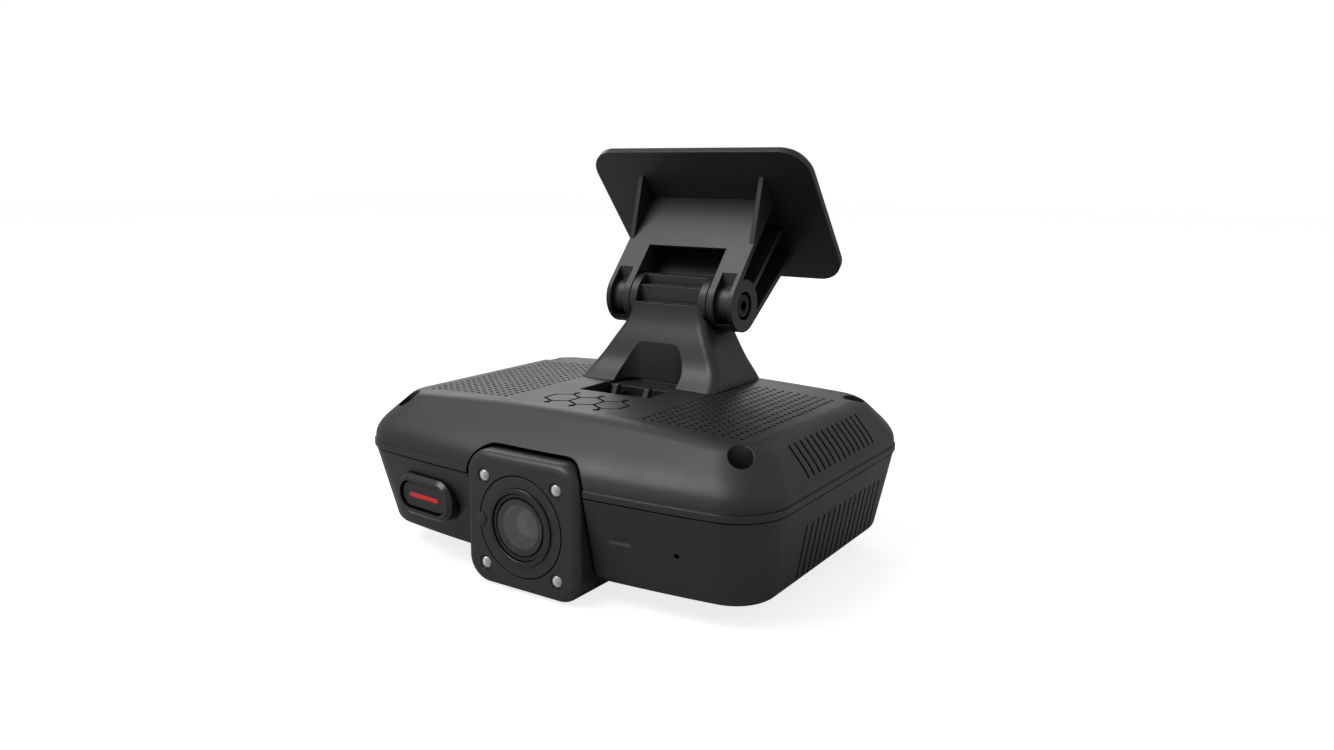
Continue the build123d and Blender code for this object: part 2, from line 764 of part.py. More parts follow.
with BuildPart() as mount_neck:
    neck_faces = []
    for height, middle_y, width, depth in neck_sections:
        with BuildSketch(Plane.XY.offset(height), mode=Mode.PRIVATE) as neck_section:
            with Locations((0, middle_y)):
                RectangleRounded(width, depth, neck_corner)
        neck_faces.append(neck_section.sketch.face())
    loft(neck_faces)
    # Room for the bracket's ears at both ends of the barrel
    for ear_side in (1, -1):
        with BuildSketch(Plane.YZ.offset(ear_side * (barrel_half - ear_room))):
            with Locations((hinge_y, hinge_z)):
                Circle(ear_radius + ear_room)
            with Locations((hinge_y, hinge_z - ear_radius - ear_room)):
                Rectangle(swing_reach, ear_radius + ear_room, align=(Align.MIN, Align.MIN))
        extrude(amount=ear_side * swing_reach, mode=Mode.SUBTRACT)
    with BuildSketch(Plane.YZ):
        with Locations((hinge_y, hinge_z)):
            Circle(ear_radius)
    extrude(amount=barrel_half, both=True)
    add(outer_upper, mode=Mode.SUBTRACT)
    # Scallop that clears a finger above the latch
    with BuildSketch(Plane.XY.offset(crown_height - 1.5)):
        with Locations((0, (scallop_front + scallop_back) / 2)):
            RectangleRounded(2 * scallop_half, scallop_back - scallop_front, scallop_corner)
    extrude(amount=scallop_height, mode=Mode.SUBTRACT)
    # Stepped pocket in the front of the barrel, between two end rims
    with BuildSketch(Plane.YZ):
        with Locations((hinge_y - 5.2, hinge_z - 0.2)):
            Rectangle(10, 12, align=(Align.MAX, Align.MIN))
        with Locations((hinge_y - 1.8, hinge_z + 4.6)):
            Rectangle(10, 12, align=(Align.MAX, Align.MIN))
    extrude(amount=barrel_half - 2.4, both=True, mode=Mode.SUBTRACT)
    # Foot with a front toe for the latch and a rear tongue under the roof
    with BuildSketch(Plane.XY.offset(foot_low)):
        with Locations((0, (foot_front + foot_rear) / 2)):
            Rectangle(2 * foot_half, foot_rear - foot_front)
    extrude(amount=crown_height - foot_low - roof_recess)
    # Stem that joins the foot to the neck through the roof opening
    with BuildSketch(Plane.XY.offset(foot_low)):
        with Locations((0, (scallop_back + foot_rear) / 2)):
            Rectangle(2 * foot_half, foot_rear - scallop_back)
    extrude(amount=crown_height - foot_low + stem_overlap)
    with BuildSketch(Plane.XY.offset(foot_low)):
        with Locations((0, foot_front)):
            Rectangle(2 * foot_half - 2, toe_reach, align=(Align.CENTER, Align.MAX))
        with Locations((0, foot_rear)):
            Rectangle(2 * foot_half - 3, 2.8, align=(Align.CENTER, Align.MIN))
    extrude(amount=toe_top - foot_low - 0.4)
    with BuildSketch(Plane.YZ):
        with Locations((hinge_y, hinge_z)):
            Circle(bolt_radius + running_clearance)
    extrude(amount=barrel_half + 1, both=True, mode=Mode.SUBTRACT)
write(mount_neck, "mount_neck")

with BuildPart() as release_latch:
    with BuildSketch(Plane.XY.offset(foot_low)):
        with Locations((0, -4.0)):
            Rectangle(16, 5.6, align=(Align.CENTER, Align.MIN))
    extrude(amount=1.6)
    with BuildSketch(Plane.YZ.offset(4.5)):
        with BuildLine():
            Polyline(
                (-1.2, foot_low + 1.0),
                (1.6, foot_low + 1.0),
                (1.6, toe_top - 0.1),
                (4.4, toe_top - 0.1),
                (4.4, toe_top + 1.1),
                (2.2, toe_top + 1.1),
                (2.4, crown_height + 0.4),
                (0.6, crown_height + 0.4),
                close=True,
            )
        make_face()
    extrude(amount=1.6)
    mirror(about=Plane.YZ)
    with BuildSketch(Plane.XY.offset(foot_low + 1.6)):
        with Locations((0, -2.8)):
            Rectangle(5, 1.2)
    extrude(amount=1.1)
write(release_latch, "release_latch")

# ---------------------------------------------------------------- windscreen bracket

down_plate = Vector(0, cos(radians(rake)), -sin(radians(rake)))
to_glass = Vector(0, sin(radians(rake)), cos(radians(rake)))
plate_top = Vector(0, plate_top_y, plate_top_z)
hinge = Vector(0, hinge_y, hinge_z)


def plate_plane(out):
    """Plane parallel to the windscreen through the plate's middle, a distance towards the glass."""
    return Plane(
        origin=plate_top + down_plate * (plate_length / 2) + to_glass * out,
        x_dir=(1, 0, 0),
        z_dir=to_glass,
    )


def side_view(point):
    """Y and Z of a point, for drawing in the side view."""
    return (point.Y, point.Z)


def tangent_point(outside, side, radius):
    """Where a line from a point touches a circle round the hinge, on the chosen side."""
    away = outside - hinge
    angle = atan2(away.Z, away.Y) + side * acos(radius / away.length)
    return hinge + Vector(0, cos(angle), sin(angle)) * radius


front_corner = plate_top + down_plate * front_meets_plate
rear_corner = plate_top + down_plate * rear_meets_plate
front_touch = tangent_point(front_corner, 1, ear_radius)
rear_touch = tangent_point(rear_corner, -1, ear_radius)


def arm_outline(wall_inset, past_plate):
    """Side-view outline of the arm between its front sheet and rear flange."""
    front_line = (front_corner - front_touch).normalized()
    rear_line = (rear_corner - rear_touch).normalized()
    front_in = Vector(0, front_line.Z, -front_line.Y) * wall_inset
    rear_in = Vector(0, -rear_line.Z, rear_line.Y) * wall_inset
    return [
        side_view(front_touch + front_in),
        side_view(front_corner + front_in + front_line * past_plate),
        side_view(rear_corner + rear_in + rear_line * past_plate),
        side_view(rear_touch + rear_in),
    ]


with BuildPart() as windscreen_bracket:
    with BuildSketch(Plane.YZ) as arm_side:
        with BuildLine():
            Polyline(*arm_outline(0, 1.0), close=True)
        make_face()
        with BuildLine():
            Polyline(
                side_view(plate_top),
                side_view(plate_top + down_plate * plate_length),
                side_view(plate_top + down_plate * plate_length + to_glass * plate_thickness),
                side_view(plate_top + to_glass * plate_thickness),
                close=True,
            )
        make_face()
        with Locations(side_view(hinge)):
            Circle(ear_radius)
        corners = arm_side.vertices()
        front_vertex = corners.sort_by_distance((0, front_corner.Y, front_corner.Z))[0]
        rear_vertex = corners.sort_by_distance((0, rear_corner.Y, rear_corner.Z))[0]
        fillet(front_vertex, radius=10)
        fillet(rear_vertex, radius=4)
    extrude(amount=arm_half, both=True)
    # Thin webs that stand in front of the sheet at both edges
    with BuildSketch(Plane.YZ.offset(arm_half - 1.5)):
        with BuildLine():
            Polyline(
                side_view(front_touch + (front_corner - front_touch) * 0.5),
                side_view(plate_top + down_plate * 9.0),
                side_view(front_corner + to_glass),
                close=True,
            )
        make_face()
    extrude(amount=1.5)
    mirror(about=Plane.YZ)
    # Pockets in both sides, split by a middle rib
    rib_line = (front_corner + rear_corner) * 0.5 - hinge
    rib_angle = degrees(atan2(rib_line.Z, rib_line.Y))
    for outer_face, inner_face in ((arm_half + 1, pocket_floor), (-arm_half - 1, -pocket_floor)):
        with BuildSketch(Plane.YZ.offset(inner_face)):
            with BuildLine():
                Polyline(*arm_outline(sheet_wall, 0.8), close=True)
            make_face()
            with Locations(side_view(hinge)):
                Circle(ear_radius, mode=Mode.SUBTRACT)
            with Locations(side_view(hinge)):
                Rectangle(60, rib_wall, rotation=rib_angle, mode=Mode.SUBTRACT)
        extrude(amount=outer_face - inner_face, mode=Mode.SUBTRACT)
    # Hollow between the two side webs, open at the back for the neck
    with BuildSketch(Plane.YZ):
        with BuildLine():
            Polyline(*arm_outline(sheet_wall + 0.5, 0.8)[:2], *arm_outline(-6, -2)[2:], close=True)
        make_face()
    extrude(amount=core_half, both=True, mode=Mode.SUBTRACT)
    # Room between the ears for the neck's barrel as it swings
    with BuildSketch(Plane.YZ):
        with Locations(side_view(hinge)):
            Circle(swing_radius)
    extrude(amount=ear_inner, both=True, mode=Mode.SUBTRACT)
    # Cross rib that closes the window behind the barrel
    rib_reach_out = rib_line.length + plate_thickness / 2
    with BuildSketch(Plane.YZ):
        with Locations(side_view(hinge + rib_line.normalized() * (rib_reach_in + rib_reach_out) / 2)):
            Rectangle(rib_reach_out - rib_reach_in, rib_wall, rotation=rib_angle)
    extrude(amount=ear_inner + 0.5, both=True)
    # Relief in the front of each ear, between its two walls
    for ear_side in (1, -1):
        with BuildSketch(Plane.YZ.offset(ear_side * (ear_inner + 2.2))):
            with Locations(side_view(hinge)):
                Circle(ear_radius + 3)
                Circle(ear_radius - 1.8, mode=Mode.SUBTRACT)
            with Locations((hinge_y - 2.0, hinge_z - 5.0)):
                Rectangle(12, 14.2, align=(Align.MAX, Align.MIN), mode=Mode.INTERSECT)
        extrude(amount=ear_side * 4.7, mode=Mode.SUBTRACT)
    # Mounting plate
    with BuildSketch(plate_plane(0)):
        RectangleRounded(plate_width, plate_length, plate_corner)
    extrude(amount=plate_thickness)
    # Bolt bore, head recess on the right and nut pocket on the left
    with BuildSketch(Plane.YZ):
        with Locations(side_view(hinge)):
            Circle(bolt_radius)
    extrude(amount=arm_half + 1, both=True, mode=Mode.SUBTRACT)
    with BuildSketch(Plane.YZ.offset(arm_half - bolt_head_height - 0.3)):
        with Locations(side_view(hinge)):
            Circle(bolt_recess_radius)
    extrude(amount=10, mode=Mode.SUBTRACT)
    with BuildSketch(Plane.YZ.offset(-arm_half + nut_height + 0.4)):
        with Locations(side_view(hinge)):
            RegularPolygon(nut_flats / 2 + 0.05, 6, major_radius=False)
    extrude(amount=-10, mode=Mode.SUBTRACT)
write(windscreen_bracket, "windscreen_bracket")

with BuildPart() as adhesive_pad:
    with BuildSketch(plate_plane(plate_thickness)):
        RectangleRounded(plate_width - 2, plate_length - 2, plate_corner - 1)
    extrude(amount=pad_thickness)
write(adhesive_pad, "adhesive_pad")

with BuildPart() as hinge_bolt:
    with BuildSketch(Plane.YZ.offset(-arm_half + 0.4)):
        with Locations(side_view(hinge)):
            Circle(bolt_radius)
    extrude(amount=2 * arm_half - bolt_head_height - 0.7)
    with BuildSketch(Plane.YZ.offset(arm_half - bolt_head_height - 0.3)):
        with Locations(side_view(hinge)):
            Circle(bolt_head_radius)
    extrude(amount=bolt_head_height)
    chamfer(hinge_bolt.faces().sort_by(Axis.X)[-1].edges(), 0.3)
    with BuildSketch(Plane.YZ.offset(arm_half - 0.3)):
        with Locations(side_view(hinge)):
            RegularPolygon(1.5, 6, major_radius=False)
    extrude(amount=-2.4, mode=Mode.SUBTRACT)
write(hinge_bolt, "hinge_bolt")

with BuildPart() as hinge_nut:
    with BuildSketch(Plane.YZ.offset(-arm_half + nut_height + 0.4)):
        with Locations(side_view(hinge)):
            RegularPolygon(nut_flats / 2, 6, major_radius=False)
            Circle(bolt_radius, mode=Mode.SUBTRACT)
    extrude(amount=-nut_height)
write(hinge_nut, "hinge_nut")

with BuildPart() as friction_washers:
    with BuildSketch(Plane.YZ.offset(barrel_half)):
        with Locations(side_view(hinge)):
            Circle(ear_radius - 1.2)
            Circle(bolt_radius + running_clearance, mode=Mode.SUBTRACT)
    extrude(amount=ear_inner - barrel_half)
    mirror(about=Plane.YZ)
write(friction_washers, "friction_washers")

# ---------------------------------------------------------------- road camera

with BuildPart() as road_camera_bezel:
    with BuildSketch(Plane.YZ) as road_section:
        with BuildLine():
            Polyline(
                (road_rear, road_z + road_radius),
                (road_front - 0.8, road_z + road_radius),
                (road_front, road_z + road_radius - 0.8),
                (road_front, road_z + road_radius - 2.0),
                (road_front - 2.4, road_z + road_radius - 3.4),
                (road_front - 2.4, road_z + road_radius - 4.2),
                (road_front - 4.4, road_z + road_radius - 4.2),
                (road_front - 4.4, road_z + road_radius - 1.6),
                (road_rear, road_z + road_radius - 1.6),
                close=True,
            )
        make_face()
    revolve(axis=Axis((0, 0, road_z), (0, 1, 0)))
write(road_camera_bezel, "road_camera_bezel")

road_lens_glass = domed_glass(road_front - 2.6, road_z, road_radius - 4.3, 1.2, 0.7, 1)
write(road_lens_glass, "road_lens_glass")

with BuildPart() as road_lens_barrel:
    with BuildSketch(Plane.XZ.offset(-road_rear)):
        with Locations((0, road_z)):
            Circle(road_radius - 3.4)
            Circle(road_radius - 5.6, mode=Mode.SUBTRACT)
    extrude(amount=road_rear - road_front + 4.6)
write(road_lens_barrel, "road_lens_barrel")

with BuildPart() as road_sensor_board:
    with BuildSketch(Plane.XZ.offset(-road_rear + 1.2)):
        with Locations((0, road_z - 0.5)):
            Rectangle(22, 17)
    extrude(amount=-1.2)
write(road_sensor_board, "road_sensor_board")

# ---------------------------------------------------------------- electronics

with BuildPart() as main_board:
    with BuildSketch(Plane.XY.offset(board_low)):
        Rectangle(106, 66)
        with Locations(board_posts):
            Circle(post_radius + 0.6)
        with Locations((0, -33)):
            Rectangle(52, 34, mode=Mode.SUBTRACT)
        with Locations((0, 36)):
            Rectangle(24, 13, mode=Mode.SUBTRACT)
        with Locations((microphone_x, -34)):
            Rectangle(10, 10, mode=Mode.SUBTRACT)
        with GridLocations(106, 66, 2, 2):
            Rectangle(14, 22, mode=Mode.SUBTRACT)
        with Locations((button_x, -32)):
            Rectangle(30, 12, mode=Mode.SUBTRACT)
        with Locations(board_posts):
            Circle(1.3, mode=Mode.SUBTRACT)
    extrude(amount=board_thickness)
write(main_board, "main_board")

with BuildPart() as board_screws:
    for post_x, post_y in board_posts:
        with Locations((post_x, post_y, board_top)):
            Cylinder(2.2, 1.5, align=(Align.CENTER, Align.CENTER, Align.MIN))
            Cylinder(1.0, 6.5, align=(Align.CENTER, Align.CENTER, Align.MAX))
write(board_screws, "board_screws")

with BuildPart() as heat_sink:
    with BuildSketch(Plane.XY.offset(board_top)):
        with Locations((30, 2)):
            Rectangle(26, 34)
    extrude(amount=2)
    with BuildSketch(Plane.XY.offset(board_top + 2)):
        with Locations((30, 2)):
            with GridLocations(3.1, 1, 9, 1):
                Rectangle(1.1, 34)
    extrude(amount=9)
write(heat_sink, "heat_sink")

with BuildPart() as backup_capacitors:
    for row in range(3):
        with Locations((-4.0, 2.0 + 10.6 * row, board_top + 5.0)):
            Cylinder(5.0, 24, rotation=(0, 90, 0))
    fillet(backup_capacitors.faces().group_by(Axis.X)[-1].edges(), 0.6)
write(backup_capacitors, "backup_capacitors")

with BuildPart() as speaker:
    with BuildSketch(Plane.XY.offset(crown_height - wall - 6.6)):
        with Locations((-top_grid_x, speaker_y)):
            Circle(speaker_radius)
    extrude(amount=3)
    with BuildSketch(Plane.XY.offset(crown_height - wall - 9.6)):
        with Locations((-top_grid_x, speaker_y)):
            Circle(magnet_radius)
    extrude(amount=3)
    with BuildSketch(Plane.XY.offset(crown_height - wall - 3.6)):
        with Locations((-top_grid_x, speaker_y)):
            Circle(speaker_radius)
            Circle(cone_radius + 0.1, mode=Mode.SUBTRACT)
    extrude(amount=0.8)
write(speaker, "speaker")

with BuildPart() as speaker_cone:
    cone_low = crown_height - wall - 3.6
    with BuildSketch(Plane(origin=(-top_grid_x, speaker_y, cone_low), x_dir=(0, 1, 0), z_dir=(1, 0, 0))):
        with BuildLine():
            Polyline((0, 0), (0, 0.5), (4, 0.5), (cone_edge, 1.1), (cone_radius, 1.1), (cone_radius, 0), (0, 0))
        make_face()
    revolve(axis=Axis((-top_grid_x, speaker_y, 0), (0, 0, 1)))
write(speaker_cone, "speaker_cone")

with BuildPart() as gnss_antenna:
    with BuildSketch(Plane.XY.offset(board_top)):
        with Locations((40, -24.5)):
            RectangleRounded(12, 12, 1)
    extrude(amount=4)
write(gnss_antenna, "gnss_antenna")

with BuildPart() as cellular_antenna:
    with BuildSketch(Plane.YZ.offset(-52)):
        with Locations((3, board_top + 6)):
            Rectangle(30, 12)
    extrude(amount=0.8)
write(cellular_antenna, "cellular_antenna")

with BuildPart() as power_socket:
    with BuildSketch(Plane.XZ.offset(-24)):
        with Locations((socket_x, socket_z - 2.7)):
            Rectangle(12, 9)
    extrude(amount=-9)
    with BuildSketch(Plane.XZ.offset(-28)):
        with Locations((socket_x, socket_z)):
            RectangleRounded(12.6, 7.6, 0.9)
    extrude(amount=-12)
    with BuildSketch(Plane.XZ.offset(-32)):
        with Locations((socket_x, socket_z)):
            RectangleRounded(10.2, 5.2, 0.6)
    extrude(amount=-12, mode=Mode.SUBTRACT)
    with BuildSketch(Plane.XY.offset(board_low)):
        with Locations((socket_x, 28)):
            Rectangle(20, 20)
    extrude(amount=10, mode=Mode.SUBTRACT)
write(power_socket, "power_socket")

with BuildPart() as power_pins:
    with BuildSketch(Plane.XZ.offset(-32)):
        with Locations((socket_x, socket_z)):
            with GridLocations(2.3, 1, 4, 1):
                Rectangle(0.7, 0.7)
    extrude(amount=-5.5)
write(power_pins, "power_pins")

with BuildPart() as card_socket:
    with BuildSketch(Plane.XY.offset(board_low - 1.9)):
        with Locations((hatch_x, hatch_y)):
            Rectangle(15, 15)
    extrude(amount=1.9)
    with BuildSketch(Plane.XY.offset(board_low - 1.5)):
        with Locations((hatch_x, hatch_y - 1)):
            Rectangle(11.2, 14)
    extrude(amount=1.1, mode=Mode.SUBTRACT)
write(card_socket, "card_socket")

with BuildPart() as memory_card:
    with BuildSketch(Plane.XY.offset(board_low - 1.5)) as card_outline:
        with Locations((hatch_x, hatch_y - 1.6)):
            Rectangle(11, 15)
        chamfer(card_outline.vertices().group_by(Axis.Y)[-1].sort_by(Axis.X)[-1], 1.6)
    extrude(amount=1.0)
write(memory_card, "memory_card")

# ---------------------------------------------------------------- card hatch

with BuildPart() as card_hatch:
    with BuildSketch(Plane.XY):
        with Locations((hatch_x, hatch_y)):
            RectangleRounded(hatch_length, hatch_width, 1)
    extrude(amount=1.8)
    with BuildSketch(Plane.XY.offset(0.2)):
        with Locations((hatch_x - 8, hatch_axis_y), (hatch_x + 8, hatch_axis_y)):
            Rectangle(4, 4, align=(Align.CENTER, Align.MAX))
    extrude(amount=1.6)
    for knuckle_x in (hatch_x - 10, hatch_x + 6):
        with BuildSketch(Plane.YZ.offset(knuckle_x)):
            with Locations((hatch_axis_y, hatch_axis_z)):
                Circle(hatch_pin_radius + 0.75)
        extrude(amount=4)
    with BuildSketch(Plane.YZ.offset(hatch_x)):
        with Locations((hatch_axis_y, hatch_axis_z)):
            Circle(hatch_pin_radius + running_clearance)
    extrude(amount=hatch_length, both=True, mode=Mode.SUBTRACT)
    # Finger groove near the free edge
    with BuildSketch(Plane.XY):
        with Locations((hatch_x, hatch_y - 5)):
            SlotOverall(10, 2.4)
    extrude(amount=0.7, mode=Mode.SUBTRACT)
write(card_hatch, "card_hatch")

with BuildPart() as card_hatch_pin:
    with BuildSketch(Plane.YZ.offset(hatch_x)):
        with Locations((hatch_axis_y, hatch_axis_z)):
            Circle(hatch_pin_radius)
    extrude(amount=hatch_length / 2 + 2, both=True)
write(card_hatch_pin, "card_hatch_pin")

# ---------------------------------------------------------------- latch springs

with BuildPart() as latch_springs:
    for spring_x in (-4.5, 4.5):
        with BuildLine() as coil:
            Helix(
                pitch=0.8,
                height=spring_length,
                radius=spring_radius,
                center=(spring_x, recess_front + spring_wire, foot_low + 1.1),
                direction=(0, 1, 0),
            )
        with BuildSketch(Plane(origin=coil.line @ 0, z_dir=coil.line % 0)):
            Circle(spring_wire)
        sweep(path=coil.line, is_frenet=True)
write(latch_springs, "latch_springs")
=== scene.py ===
import json
import math

import bpy
from mathutils import Matrix, Vector


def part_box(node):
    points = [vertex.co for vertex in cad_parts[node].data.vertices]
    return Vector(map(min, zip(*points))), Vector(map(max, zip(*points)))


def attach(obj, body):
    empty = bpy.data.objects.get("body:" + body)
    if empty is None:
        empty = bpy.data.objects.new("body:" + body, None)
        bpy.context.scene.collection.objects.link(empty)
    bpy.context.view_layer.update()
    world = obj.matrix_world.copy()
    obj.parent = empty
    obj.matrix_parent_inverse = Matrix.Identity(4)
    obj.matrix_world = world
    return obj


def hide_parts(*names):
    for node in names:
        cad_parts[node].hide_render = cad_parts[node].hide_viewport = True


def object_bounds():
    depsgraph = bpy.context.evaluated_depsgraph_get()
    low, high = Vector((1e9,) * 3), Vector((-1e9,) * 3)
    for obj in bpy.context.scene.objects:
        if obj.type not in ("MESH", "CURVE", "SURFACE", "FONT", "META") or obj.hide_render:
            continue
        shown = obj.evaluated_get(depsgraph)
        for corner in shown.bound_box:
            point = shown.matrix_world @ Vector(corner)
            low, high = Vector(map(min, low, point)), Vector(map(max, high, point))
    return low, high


# A dash camera in black moulded plastic. Lengths are in metres, +Z is up, and -Y faces the cabin.

MM = 0.001
WHITE = (1.0, 1.0, 1.0, 1.0)
# Reach of the painted shade that darkens slots, holes and other crevices in the plastic.
CREVICE_SHADE_REACH = 3.0 * MM
MOTTLE = 14 * MM
HANDLING = 2.2 * MM
ON_AXIS = 0.02

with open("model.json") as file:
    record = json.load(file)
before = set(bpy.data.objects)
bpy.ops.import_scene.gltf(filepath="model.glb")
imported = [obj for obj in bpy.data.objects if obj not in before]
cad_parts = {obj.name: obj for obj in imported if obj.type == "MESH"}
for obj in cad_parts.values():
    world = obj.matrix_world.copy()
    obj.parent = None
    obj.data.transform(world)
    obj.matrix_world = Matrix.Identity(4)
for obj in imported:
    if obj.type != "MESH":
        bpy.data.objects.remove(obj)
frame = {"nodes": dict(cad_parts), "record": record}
cad_low, cad_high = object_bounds()


# ---------------------------------------------------------------- node helpers


class Nodes:
    """A material's node tree, with short calls for the few nodes that the materials share."""

    def __init__(self, name):
        self.material = bpy.data.materials.new(name)
        self.material.use_nodes = True
        self.tree = self.material.node_tree
        self.shader = self.tree.nodes["Principled BSDF"]

    def link(self, source, target):
        self.tree.links.new(source, target)

    def add(self, kind, **settings):
        node = self.tree.nodes.new(kind)
        for key, value in settings.items():
            setattr(node, key, value)
        return node

    def place(self):
        """Coordinates in metres, the same on every piece."""
        return self.add("ShaderNodeTexCoord").outputs["Object"]

    def noise(self, size, detail=2.0, rough=0.5):
        """Noise whose grains measure about size."""
        node = self.add("ShaderNodeTexNoise")
        node.inputs["Scale"].default_value = 1.0 / size
        node.inputs["Detail"].default_value = detail
        node.inputs["Roughness"].default_value = rough
        self.link(self.place(), node.inputs["Vector"])
        return node.outputs["Fac"]

    def spread(self, value, low, high, out_low, out_high):
        node = self.add("ShaderNodeMapRange")
        node.inputs["From Min"].default_value = low
        node.inputs["From Max"].default_value = high
        node.inputs["To Min"].default_value = out_low
        node.inputs["To Max"].default_value = out_high
        self.link(value, node.inputs["Value"])
        return node.outputs["Result"]

    def sum(self, first, second, operation="ADD"):
        node = self.add("ShaderNodeMath", operation=operation)
        for socket, value in zip(node.inputs, (first, second)):
            if isinstance(value, (int, float)):
                socket.default_value = value
            else:
                self.link(value, socket)
        return node.outputs["Value"]

    def mix(self, share, first, second):
        """A colour between first and second."""
        node = self.add("ShaderNodeMix", data_type="RGBA")
        self.link(share, node.inputs["Factor"])
        for socket, value in ((node.inputs["A"], first), (node.inputs["B"], second)):
            if isinstance(value, tuple):
                socket.default_value = value
            else:
                self.link(value, socket)
        return node.outputs["Result"]

    def rounded_normal(self, radius):
        node = self.add("ShaderNodeBevel", samples=6)
        node.inputs["Radius"].default_value = radius
        return node.outputs["Normal"]

    def edge_mask(self, rounded):
        """1 on sharp edges and 0 on open faces, from how far the rounded normal turns."""
        flat = self.add("ShaderNodeNewGeometry").outputs["Normal"]
        dot = self.add("ShaderNodeVectorMath", operation="DOT_PRODUCT")
        self.link(rounded, dot.inputs[0])
        self.link(flat, dot.inputs[1])
        return self.spread(dot.outputs["Value"], 0.985, 0.80, 0.0, 1.0)

    def crevice_shade(self, reach):
        """Painted shade from ambient occlusion: 0 deep inside slots and holes and 1 on open faces."""
        node = self.add("ShaderNodeAmbientOcclusion", samples=4)
        node.inputs["Distance"].default_value = reach
        return self.spread(node.outputs["AO"], 0.20, 0.70, 0.0, 1.0)

    def bump(self, height, distance, strength=1.0, normal=None):
        node = self.add("ShaderNodeBump")
        node.inputs["Strength"].default_value = strength
        node.inputs["Distance"].default_value = distance
        self.link(height, node.inputs["Height"])
        if normal is not None:
            self.link(normal, node.inputs["Normal"])
        return node.outputs["Normal"]


def grey(level, tint=0.0):
    return (level, level * (1.0 + tint * 0.4), level * (1.0 + tint), 1.0)


def scaled(colour, share):
    """The colour with its three channels scaled; a share over 1 makes it lighter."""
    return tuple(channel * share for channel in colour[:3]) + (1.0,)


def moulded_plastic(
    name, level, roughness, grain, depth, edge_radius=0.35 * MM, tint=0.0, wear=0.25, gloss=0.6
):
    """Spark-eroded black plastic: fine grain, soft handling marks, edges polished by use, and painted shade
    in its slots, holes and crevices.
    """
    n = Nodes(name)
    rounded = n.rounded_normal(edge_radius)
    fine = n.noise(grain, detail=3.0, rough=0.65)
    broad = n.noise(MOTTLE, detail=3.0, rough=0.6)
    edges = n.edge_mask(rounded)
    base = n.mix(broad, grey(level * 0.88, tint), grey(level * 1.10, tint))
    speckled = n.mix(n.spread(fine, 0.35, 0.75, 0.0, 0.35), base, grey(level * 1.7, tint))
    handling = n.spread(n.noise(HANDLING, 4.0), 0.35, 0.65, 0.2, wear * 2)
    worn = n.sum(edges, handling, "MULTIPLY")
    colour = n.mix(worn, speckled, grey(level * 2.6, tint))
    # Painted shade: inside slots, holes and crevices the base colour is darkened towards grey(level * 0.15)
    # and the specular level is lowered, from ambient occlusion.
    unshaded_share = n.crevice_shade(CREVICE_SHADE_REACH)
    n.link(n.mix(unshaded_share, grey(level * 0.15), colour), n.shader.inputs["Base Color"])
    n.link(n.spread(unshaded_share, 0.0, 1.0, 0.08, gloss), n.shader.inputs["Specular IOR Level"])
    sheen = n.spread(broad, 0.3, 0.7, roughness - 0.035, roughness + 0.035)
    mottled = n.sum(sheen, n.spread(fine, 0.3, 0.7, -0.03, 0.03))
    n.link(n.sum(mottled, n.sum(edges, -0.08, "MULTIPLY")), n.shader.inputs["Roughness"])
    n.link(n.bump(fine, depth, 0.7, rounded), n.shader.inputs["Normal"])
    return n.material


def satin_metal(name, colour, roughness, brushed=0.4 * MM):
    """Plated steel or aluminium with fine drawn marks."""
    n = Nodes(name)
    stretch = n.add("ShaderNodeMapping")
    stretch.inputs["Scale"].default_value = (1.0, 1.0, 9.0)
    n.link(n.place(), stretch.inputs["Vector"])
    marks = n.add("ShaderNodeTexNoise")
    marks.inputs["Scale"].default_value = 1.0 / brushed
    marks.inputs["Detail"].default_value = 2.0
    n.link(stretch.outputs["Vector"], marks.inputs["Vector"])
    tone = n.mix(marks.outputs["Fac"], scaled(colour, 0.8), colour)
    n.link(tone, n.shader.inputs["Base Color"])
    n.shader.inputs["Metallic"].default_value = 1.0
    drawn = marks.outputs["Fac"]
    n.link(n.spread(drawn, 0.3, 0.7, roughness - 0.07, roughness + 0.07), n.shader.inputs["Roughness"])
    n.link(n.bump(drawn, 0.01 * MM, 0.5, n.rounded_normal(0.15 * MM)), n.shader.inputs["Normal"])
    return n.material


def coated_glass(name, dark, clear, transmission):
    """Lens glass with a faint antireflection coating, whose tint at the rim is a painted reflection in the
    base colour.
    """
    n = Nodes(name)
    facing = n.add("ShaderNodeLayerWeight")
    facing.inputs["Blend"].default_value = 0.35
    # Painted reflection: the base colour shifts from the first tone face on to the second tone at grazing
    # angles, standing for the coating's reflection at the rim.
    n.link(n.mix(facing.outputs["Facing"], dark, clear), n.shader.inputs["Base Color"])
    n.link(n.spread(n.noise(3 * MM), 0.3, 0.7, 0.03, 0.07), n.shader.inputs["Roughness"])
    n.shader.inputs["IOR"].default_value = 1.5
    n.shader.inputs["Transmission Weight"].default_value = transmission
    return n.material


def clear_dome(name):
    """Water-clear epoxy of the infrared lamps, faintly milky."""
    n = Nodes(name)
    cloud = n.noise(0.8 * MM)
    n.link(n.mix(cloud, (0.62, 0.63, 0.66, 1.0), (0.78, 0.79, 0.82, 1.0)), n.shader.inputs["Base Color"])
    n.link(n.spread(cloud, 0.3, 0.7, 0.08, 0.16), n.shader.inputs["Roughness"])
    n.shader.inputs["Transmission Weight"].default_value = 0.45
    n.shader.inputs["IOR"].default_value = 1.5
    return n.material


